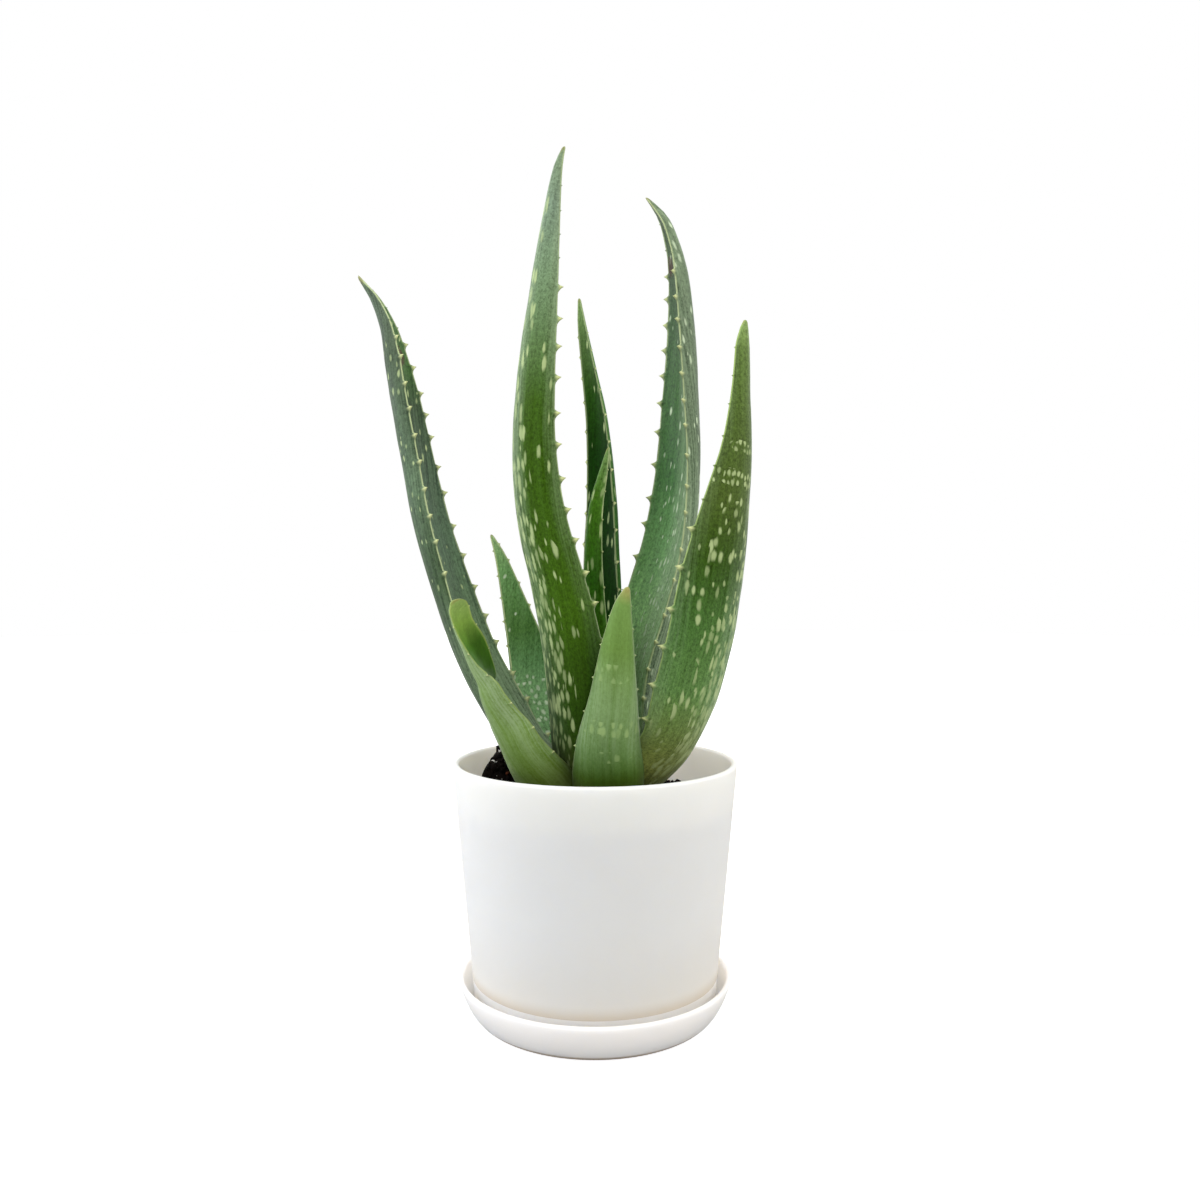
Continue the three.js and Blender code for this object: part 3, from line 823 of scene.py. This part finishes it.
def leafSkin(name, leaf):
    material, tree, shader = newFinish(name)
    across, along, inner, spine, edge = (grown(tree, word) for word in pointValues)
    skin = grown(tree, "skin", "Vector")
    acrossShare = fade(tree, across, -1, 1)
    acrossShare.node.interpolation_type = "LINEAR"
    words = ("patches", "streaks", "grain", "rays")
    patches, streaks, grain, rays = (skinCloud(tree, skin, word) for word in words)

    hollow = ramp(tree, along, leaf["inner"])
    # painted shade across the inner face
    if "fold" in leaf:
        innerShadeFade = fade(tree, along, *leaf["foldEnd"], 1, 0)
        hollow = blend(tree, innerShadeFade, hollow, ramp(tree, acrossShare, leaf["fold"]), "MULTIPLY")
    colour = blend(tree, inner, ramp(tree, along, leaf["outer"]), hollow)
    swings = [(patches, "mottle"), (streaks, "streak"), (grain, "speckle")]
    light = total(tree, 1.0, *(swing(tree, fac, leaf[key]) for fac, key in swings))
    lightColour = tree.nodes.new("ShaderNodeCombineColor")
    for socket in lightColour.inputs:
        tree.links.new(light, socket)
    colour = blend(tree, 1.0, colour, lightColour.outputs[0], "MULTIPLY")

    # the waxy bloom, partly a painted sheen on the lit edges: a grey veil, streaked and speckled
    frostAndSheenAlong = ramp(tree, along, leaf["frost"]["along"])
    veilAndSheen = times(tree, frostAndSheenAlong, ramp(tree, acrossShare, leaf["frost"]["across"]))
    dust = total(tree, streaks, *(times(tree, n, s) for n, s in zip((rays, grain), leaf["dust"])))
    veilAndSheen = times(tree, veilAndSheen, fade(tree, dust, *leaf["veilBreakupReach"]), leaf["frostAndSheenShare"])
    veilAndSheen = times(tree, veilAndSheen, fade(tree, inner, 0.4, 0.6, 1, leaf["innerFrostAndSheen"]))
    colour = blend(tree, veilAndSheen, colour, tint(leaf["wax"]))

    if leaf["flecks"]:
        flecks = allFlecks(tree, leaf, skin, along, acrossShare)
        colour = blend(tree, flecks, colour, tint(leaf["fleck"]))
    for scar in leaf["scars"]:
        off = squareOff(tree, across, scar["at"][0], scar["reach"][0])
        down = squareOff(tree, along, scar["at"][1], scar["reach"][1])
        reach = total(tree, off, down, swing(tree, grain, leaf["scarRagged"]))
        onInner = calc(tree, "GREATER_THAN", inner, 0.6)
        mark = times(tree, fade(tree, reach, *leaf["scarReach"], 0), onInner)
        colour = blend(tree, mark, colour, tint(leaf["scar"]))

    # pale line on the margin, cream teeth
    strength = fade(tree, across, -0.5, 0.5, *leaf["line"])
    line = fade(tree, edge, *leaf["lineWidth"], strength, 0)
    line = times(tree, line, fade(tree, along, *leaf["lineStart"]))
    line = times(tree, line, fade(tree, spine, 0, 0.2, 1, 0.5))
    colour = blend(tree, line, colour, tint(leaf["margin"]))
    colour = blend(tree, fade(tree, spine, *leaf["toothReach"]), colour, tint(leaf["tooth"]))
    # painted shade darkening the heel of each leaf, and a brownish tip
    ragged = total(tree, along, swing(tree, streaks, leaf["ragged"]))
    heel = fade(tree, ragged, leaf["heelShadeEnd"] * 0.3, leaf["heelShadeEnd"], leaf["heelShadeShare"], 0)
    colour = blend(tree, heel, colour, tint(leaf["heel"]))
    colour = blend(tree, fade(tree, ragged, *leaf["tipReach"]), colour, tint(leaf["tip"]))

    bumps = relief(tree, streaks, leaf["streakRelief"])
    sheenShare, sheenRoughness, sheenTint = leaf["sheen"]
    finish = {
        "Base Color": colour,
        "Roughness": fade(tree, patches, 0.3, 0.7, *leaf["roughness"]),
        "Specular IOR Level": leaf["gloss"],
        "Specular Tint": tint(leaf["glossTint"]),
        "Sheen Weight": leaf["bloom"] * sheenShare,
        "Sheen Roughness": sheenRoughness,
        "Sheen Tint": tint(sheenTint),
        "Normal": relief(tree, grain, leaf["grainRelief"], bumps),
    }
    settle(tree, shader, finish)
    return material


for index, (name, shape) in enumerate(leafShapes.items()):
    leaf = {**toothBuild, **leafFinish, **shape}
    words = name.split("_")
    pieceName = words[0] + "".join(word.title() for word in words[1:])
    skin = leafSkin(pieceName + "Skin", leaf)
    addPiece(growLeaf(name, leaf, 41 + index), pieceName, skin, name)
print("leaves grown")

# Pot and saucer.
potBuild = {
    "foot": 3.5,
    "rimHeight": 116.2,
    "rimRadius": 66,
    "footRadius": 56.3,
    "footRound": 7,
    "wall": 3,
    "floor": 4,
    "lip": 1.4,
    "lipInset": 0.15,
    "drainRadius": 7,
    "wallRows": 8,
    "steps": 180,
}
saucerBuild = {
    "height": 17.6,
    "rimRadius": 63.2,
    "baseRadius": 53.2,
    "wall": 2.4,
    "floor": 3.2,
    "floorInset": 1,
    "lip": 1.2,
    "outerCurve": ((2.4, 0.2), (-2.7, 6.3)),  # out from the base and from the rim, and height
    "innerCurve": ((-0.8, 8.6), (4.2, 0.2)),  # out from the rim and from the floor
    "steps": 180,
}


def arc(x, z, radius, start, end, steps=8):
    angles = [math.radians(lerp(start, end, i / steps)) for i in range(steps + 1)]
    return [(x + radius * math.cos(a), z + radius * math.sin(a)) for a in angles]


def bezier(a, b, c, d, steps):
    points = []
    for i in range(steps + 1):
        t = i / steps
        weights = ((1 - t) ** 3, 3 * t * (1 - t) ** 2, 3 * t * t * (1 - t), t**3)
        points.append(tuple(sum(w * p[k] for w, p in zip(weights, (a, b, c, d))) for k in (0, 1)))
    return points


def turned(outline, steps):
    bm = bmesh.new()
    verts = [bm.verts.new((x * mm, 0, z * mm)) for x, z in outline]
    edges = [bm.edges.new(pair) for pair in zip(verts, verts[1:])]
    turn = {"cent": (0, 0, 0), "axis": (0, 0, 1), "angle": math.tau, "steps": steps}
    bmesh.ops.spin(bm, geom=verts + edges, use_merge=True, use_duplicate=False, **turn)
    bmesh.ops.remove_doubles(bm, verts=bm.verts, dist=1e-6)
    bmesh.ops.recalc_face_normals(bm, faces=bm.faces)
    return bm


def potWall(height):
    b = potBuild
    low = b["foot"] + b["footRound"]
    return lerp(b["footRadius"], b["rimRadius"], (height - low) / (b["rimHeight"] - low))


def turnPot():
    b = potBuild
    low = b["foot"] + b["footRound"]
    inside = b["foot"] + b["floor"]
    insideRound = b["footRound"] - b["wall"]
    insideFoot = inside + insideRound
    top = b["rimHeight"] - b["lip"]
    outline = [(b["drainRadius"], inside), (b["drainRadius"], b["foot"])]
    outline += arc(b["footRadius"] - b["footRound"], low, b["footRound"], 270, 360, 14)
    heights = [lerp(low, top, i / b["wallRows"]) for i in range(1, b["wallRows"])]
    outline += [(potWall(height), height) for height in heights]
    outline += arc(b["rimRadius"] - b["lip"] - b["lipInset"], top, b["lip"], 0, 90)
    outline += arc(b["rimRadius"] - b["wall"] + b["lip"], top, b["lip"], 90, 180)
    roundX = potWall(insideFoot) - b["wall"] - insideRound
    outline += arc(roundX, insideFoot, insideRound, 360, 270)
    outline += [outline[0]]
    return turned(outline, b["steps"])


def turnSaucer():
    b = saucerBuild
    base, rim = b["baseRadius"], b["rimRadius"]
    lipHeight = b["height"] - b["lip"]
    innerRadius = rim - b["wall"]
    floorRadius = base - b["floorInset"]
    (baseOut, baseUp), (rimOut, rimUp) = b["outerCurve"]
    (wallOut, wallUp), (floorOut, floorUp) = b["innerCurve"]
    outline = [(0, 0)]
    outer = ((base, 0), (base + baseOut, baseUp), (rim + rimOut, rimUp), (rim, lipHeight))
    outline += bezier(*outer, 16)
    outline += arc(rim - b["lip"], lipHeight, b["lip"], 15, 165)
    wallEnd = (innerRadius + wallOut, wallUp)
    floorEnd = (floorRadius + floorOut, b["floor"] + floorUp)
    outline += bezier((innerRadius, lipHeight), wallEnd, floorEnd, (floorRadius, b["floor"]), 14)
    outline += [(0, b["floor"])]
    return turned(outline, b["steps"])


glazeFinish = {
    "wall": "f9f2e7",
    "shade": "f6eee2",
    "shadeReach": (0.25, 0.8),
    # painted light: the saucer is painted lighter than the pot
    "saucer": "fffaf2",
    "saucerTop": 17.7,
    # painted warm bounce light on the inside of the wall, as if thrown back from the potting mix
    "inside": "fcefe4",
    "insideDepth": (-2.8, -2.2),  # behind the outer face of the wall
    "insideHeight": (60, 80),
    # painted shade low on the pot, just above the saucer's rim
    "low": "b9a48c",
    "paintedShadeNear": (16, 24, 0.45),  # from, to and how strong the painted shade is, low on the pot
    "paintedShadeFar": (16, 60, 0.2),
    # painted contact shadow, a warm line at the foot of the saucer
    "foot": "9c7f60",
    "contactShadowReach": (1.3, 2.7, 0.8),
    "crumb": "5a4030",  # crumbs of mix that stick to the inside
    "crumbScale": 640,
    "crumbHeight": (98, 108, 0.7),
    "crumbPatches": (0.45, 0.6),
    "crumbSize": (0.1, 0.34),
    "roughness": (0.42, 0.55),
    "patchScale": 16.0,
    "grainScale": 900.0,
    "patchRelief": (0.2, 0.4),
    "grainRelief": (0.12, 0.05),
    "lightThrough": 0.8,  # the thin white wall lets some light through to its inside
    "lightReach": 13,
    "lightShares": (1.0, 0.9, 0.75),
}


def glaze(name):
    g = glazeFinish
    material, tree, shader = newFinish(name)
    place = tree.nodes.new("ShaderNodeTexCoord").outputs["Object"]
    patches = cloud(tree, place, g["patchScale"])
    grain = cloud(tree, place, g["grainScale"], 2.0)
    shaded = fade(tree, patches, *g["shadeReach"])
    colour = blend(tree, shaded, tint(g["wall"]), tint(g["shade"]))
    parts = tree.nodes.new("ShaderNodeSeparateXYZ")
    tree.links.new(place, parts.inputs[0])
    height = times(tree, parts.outputs["Z"], 1 / mm)
    flat = tree.nodes.new("ShaderNodeVectorMath")
    flat.operation = "LENGTH"
    tree.links.new(stretched(tree, place, (1 / mm, 1 / mm, 0)), flat.inputs[0])
    slope = (potWall(100) - potWall(0)) / 100
    wallAt = total(tree, times(tree, height, slope), potWall(0))
    fromWall = calc(tree, "SUBTRACT", flat.outputs["Value"], wallAt)
    # painted warm bounce light on the inside of the wall
    inside = fade(tree, fromWall, *g["insideDepth"], 1, 0)
    inside = times(tree, inside, fade(tree, height, *g["insideHeight"]))
    colour = blend(tree, inside, colour, tint(g["inside"]))
    # painted light: the saucer gets the lighter colour
    onPot = calc(tree, "GREATER_THAN", height, g["saucerTop"])
    colour = blend(tree, onPot, tint(g["saucer"]), colour)
    # painted shade low on the pot, where it stands in its saucer
    low = total(tree, fade(tree, height, *g["paintedShadeNear"], 0), fade(tree, height, *g["paintedShadeFar"], 0))
    colour = blend(tree, times(tree, low, onPot), colour, tint(g["low"]))
    # painted contact shadow at the foot of the saucer
    colour = blend(tree, fade(tree, height, *g["contactShadowReach"], 0), colour, tint(g["foot"]))
    distance, draws = cellDraws(tree, place, "3D", g["crumbScale"], 1)
    dense = fade(tree, height, *g["crumbHeight"], 0)
    dense = times(tree, dense, fade(tree, patches, *g["crumbPatches"]))
    crumbs = calc(tree, "LESS_THAN", draws[0], dense)
    crumbSize = fade(tree, draws[1], 0, 1, *g["crumbSize"])
    crumbs = times(tree, crumbs, calc(tree, "LESS_THAN", distance, crumbSize), inside)
    colour = blend(tree, crumbs, colour, tint(g["crumb"]))
    finish = {
        "Base Color": colour,
        "Roughness": fade(tree, patches, 0.3, 0.7, *g["roughness"]),
        "Subsurface Weight": g["lightThrough"],
        "Subsurface Radius": g["lightShares"],
        "Subsurface Scale": g["lightReach"] * mm,
        "Normal": relief(tree, patches, g["patchRelief"], relief(tree, grain, g["grainRelief"])),
    }
    settle(tree, shader, finish)
    return material


potGlaze = glaze("potGlaze")
addPiece(turnPot(), "whitePot", potGlaze, "pot")
addPiece(turnSaucer(), "whiteSaucer", potGlaze, "saucer")
print("pot and saucer turned")

# Potting mix.
mixBuild = {
    "edgeHeight": 97,
    "floor": 7.8,
    "gap": 0.3,  # to the pot's wall
    "rings": 64,
    "spokes": 160,
    # x, y, rise, spread and steepness
    "mounds": [
        (2, 0, 12, 27, 2),
        (-48.5, 28, 13, 8.5, 4),
        (-40, 36, 11, 10, 4),
        (-24, 36, 7, 14, 3),
    ],
    "lumps": (1.6, 0.16),  # height and scale of the uneven top
    "fine": (0.7, 0.55),
    "bitsReach": 60,
    "bitsProud": 0.15,  # share of its size that a bit lies higher
    "bitsSquash": (0.55, 0.9),
    "bitsUneven": 0.22,
}
wholeTop = (0, 0, 58.5)  # x, y and reach
heap = (-41, 32, 17)  # the clump at the back left


def mixHeight(x, y):
    height = mixBuild["edgeHeight"]
    for moundX, moundY, rise, spread, steepness in mixBuild["mounds"]:
        height += rise * math.exp(-((math.hypot(x - moundX, y - moundY) / spread) ** steepness))
    for rise, scale in (mixBuild["lumps"], mixBuild["fine"]):
        height += rise * noise.noise(Vector((x, y, 7)) * scale)
    return height


def layMix():
    b = mixBuild
    bm = bmesh.new()
    radius = potWall(b["edgeHeight"]) - potBuild["wall"] - b["gap"]
    bmesh.ops.create_circle(bm, cap_ends=False, radius=radius * mm, segments=b["spokes"])
    ring = [edge for edge in bm.edges]
    for i in range(b["rings"] - 1):
        grownRing = bmesh.ops.extrude_edge_only(bm, edges=ring)["geom"]
        ring = [item for item in grownRing if isinstance(item, bmesh.types.BMEdge)]
        verts = [item for item in grownRing if isinstance(item, bmesh.types.BMVert)]
        shrink = 1 - 1 / (b["rings"] - i)
        bmesh.ops.scale(bm, vec=(shrink, shrink, 1), verts=verts)
    bmesh.ops.edgeloop_fill(bm, edges=ring)
    for vert in bm.verts:
        x, y = vert.co.x / mm, vert.co.y / mm
        height = mixHeight(x, y)
        reach = (potWall(height) - potBuild["wall"] - b["gap"]) / radius
        vert.co = Vector((x * reach, y * reach, height)) * mm
    rim = [edge for edge in bm.edges if edge.is_boundary]
    sides = bmesh.ops.extrude_edge_only(bm, edges=rim)["geom"]
    low = potWall(b["floor"] + potBuild["footRound"]) - potBuild["wall"] - potBuild["footRound"]
    for vert in (item for item in sides if isinstance(item, bmesh.types.BMVert)):
        flat = Vector((vert.co.x, vert.co.y, 0)).normalized() * low * mm
        vert.co = (flat.x, flat.y, b["floor"] * mm)
    edges = [item for item in sides if isinstance(item, bmesh.types.BMEdge)]
    bmesh.ops.edgeloop_fill(bm, edges=[edge for edge in edges if edge.is_boundary])
    bmesh.ops.recalc_face_normals(bm, faces=bm.faces)
    return bm


def scatter(count, seed, sizes, flat, around):
    rng = random.Random(seed)
    bm = bmesh.new()
    midX, midY, extent = around
    for _ in range(count):
        angle = rng.uniform(0, math.tau)
        reach = extent * math.sqrt(rng.random())
        x, y = midX + reach * math.cos(angle), midY + reach * math.sin(angle)
        size = lerp(*sizes, rng.random() ** 2)
        if math.hypot(x, y) > mixBuild["bitsReach"] - size:
            continue
        z = mixHeight(x, y) + size * mixBuild["bitsProud"]
        twist = rng.uniform(0, math.tau)
        axis = Vector((rng.random(), rng.random(), rng.random())).normalized()
        wide = rng.uniform(*mixBuild["bitsSquash"])
        squash = Matrix.Diagonal((1, wide, rng.uniform(*flat), 1))
        place = Matrix.Translation(Vector((x, y, z)) * mm)
        pose = place @ Matrix.Rotation(twist, 4, axis) @ squash
        made = bmesh.ops.create_icosphere(bm, subdivisions=1, radius=size * mm, matrix=pose)
        for vert in made["verts"]:
            nudge = Vector((rng.uniform(-1, 1), rng.uniform(-1, 1), rng.uniform(-1, 1)))
            vert.co += nudge * size * mixBuild["bitsUneven"] * mm
    return bm


earthFinish = {
    "clods": (5.0, 0.65),  # detail and roughness of the noise
    "clodReach": (0.3, 0.72),
    "fibres": 5,  # times as fine as the clods
    "gloss": 0.15,
    "clodRelief": (0.7, 1.0),
    "fibreRelief": (0.6, 0.4),
}


def earthy(name, dark, light, roughness, scale):
    e = earthFinish
    material, tree, shader = newFinish(name)
    place = tree.nodes.new("ShaderNodeTexCoord").outputs["Object"]
    clods = cloud(tree, place, scale, *e["clods"])
    fibres = cloud(tree, place, scale * e["fibres"])
    finish = {
        "Base Color": blend(tree, fade(tree, clods, *e["clodReach"]), tint(dark), tint(light)),
        "Roughness": roughness,
        "Specular IOR Level": e["gloss"],
        "Normal": relief(tree, clods, e["clodRelief"], relief(tree, fibres, e["fibreRelief"])),
    }
    settle(tree, shader, finish)
    return material


mixDark = earthy("mixDark", "050302", "170d08", 0.95, 260.0)
barkBrown = earthy("barkBrown", "2a120a", "5a2f1a", 0.85, 300.0)
perliteWhite = earthy("perliteWhite", "b9b4a8", "f2efe8", 0.9, 500.0)
# count, seed, size, flatness, where, finish
looseBits = {
    "mixCrumbs": (900, 5, (0.8, 2.6), (0.5, 0.9), wholeTop, mixDark),
    "mixClods": (520, 8, (0.6, 2.2), (0.6, 0.95), heap, mixDark),
    "perliteSpecks": (90, 9, (0.35, 0.8), (0.7, 0.95), heap, perliteWhite),
    "barkBits": (120, 6, (0.9, 2.8), (0.3, 0.6), wholeTop, barkBrown),
    "perliteBits": (80, 7, (0.7, 1.6), (0.7, 0.95), wholeTop, perliteWhite),
}
addPiece(layMix(), "pottingMix", mixDark, "soil")
for name, (*bits, finish) in looseBits.items():
    addPiece(scatter(*bits), name, finish)
print("potting mix laid")


crownFinish = {"dark": "4d4a24", "light": "7f8a4e", "scale": 120.0, "relief": (0.4, 0.5)}


def crownSkin():
    c = crownFinish
    material, tree, shader = newFinish("crownSkin")
    place = tree.nodes.new("ShaderNodeTexCoord").outputs["Object"]
    patches = cloud(tree, place, c["scale"], 4.0)
    finish = {
        "Base Color": blend(tree, fade(tree, patches, 0.3, 0.7), tint(c["dark"]), tint(c["light"])),
        "Roughness": 0.7,
        "Normal": relief(tree, patches, c["relief"]),
    }
    settle(tree, shader, finish)
    return material


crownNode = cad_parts["crown"]
crownNode.data.materials.clear()
crownNode.data.materials.append(crownSkin())

studio = {
    "floorRadius": 4,
    "floorTone": 0.48,
    "floorGlow": 0.85,  # only what is seen of it; the light that it throws back is its own
    "sky": (0.92, 1.16),  # straight in front of the plant, and at its sides and behind it
    "camera": (0.0023, -0.467, 0.1973),
    "pitch": -0.8,
    "lens": 30,
    "aim": (0, 0, 0.18),
    # place, size, watts, colour
    "lights": [
        ((-0.8, -0.5, 0.9), 0.6, 5.0, "f2f6ff"),
        ((0.8, -0.5, 0.9), 0.6, 4.4, "fffaf2"),
        ((-1.1, 0.2, 0.4), 0.8, 3.5, "e8f0ff"),
    ],
}
white = (1, 1, 1, 1)
scene = bpy.context.scene
scene.view_settings.view_transform = "Standard"

floorFinish, tree, shader = newFinish("floorFinish")
seenOnly = tree.nodes.new("ShaderNodeLightPath").outputs["Is Camera Ray"]
finish = {
    "Base Color": (studio["floorTone"],) * 3 + (1,),
    "Roughness": 0.9,
    "Emission Color": white,
    "Emission Strength": times(tree, seenOnly, studio["floorGlow"]),
}
settle(tree, shader, finish)
bm = bmesh.new()
bmesh.ops.create_circle(bm, cap_ends=True, radius=studio["floorRadius"], segments=96)
newObject(bm, "studioFloor", floorFinish)

world = bpy.data.worlds.new("studioWorld")
world.use_nodes = True
tree = world.node_tree
glow = tree.nodes["Background"]
way = tree.nodes.new("ShaderNodeTexCoord").outputs["Generated"]
parts = tree.nodes.new("ShaderNodeSeparateXYZ")
tree.links.new(way, parts.inputs[0])
tree.links.new(fade(tree, parts.outputs["Y"], -0.95, 0.1, *studio["sky"]), glow.inputs["Strength"])
seen = tree.nodes.new("ShaderNodeBackground")
for background in (glow, seen):
    background.inputs["Color"].default_value = white
path = tree.nodes.new("ShaderNodeLightPath")
mixer = tree.nodes.new("ShaderNodeMixShader")
tree.links.new(path.outputs["Is Camera Ray"], mixer.inputs[0])
tree.links.new(glow.outputs[0], mixer.inputs[1])
tree.links.new(seen.outputs[0], mixer.inputs[2])
tree.links.new(mixer.outputs[0], tree.nodes["World Output"].inputs["Surface"])
scene.world = world

for number, (place, size, watts, colour) in enumerate(studio["lights"]):
    lamp = bpy.data.lights.new(f"softbox{number}", "AREA")
    lamp.shape = "SQUARE"
    lamp.size = size
    lamp.energy = watts
    lamp.color = tint(colour)[:3]
    box = bpy.data.objects.new(f"softbox{number}", lamp)
    box.location = place
    aim = Vector(studio["aim"]) - Vector(place)
    box.rotation_euler = aim.to_track_quat("-Z", "Y").to_euler()
    box.visible_camera = False
    scene.collection.objects.link(box)

camera = bpy.data.objects.new("photoCamera", bpy.data.cameras.new("photoCamera"))
camera.data.lens = studio["lens"]
camera.data.sensor_width = 36
camera.location = studio["camera"]
camera.rotation_euler = (math.radians(90 + studio["pitch"]), 0, 0)
scene.collection.objects.link(camera)
scene.camera = camera

bpy.context.view_layer.update()
print("scene ready")
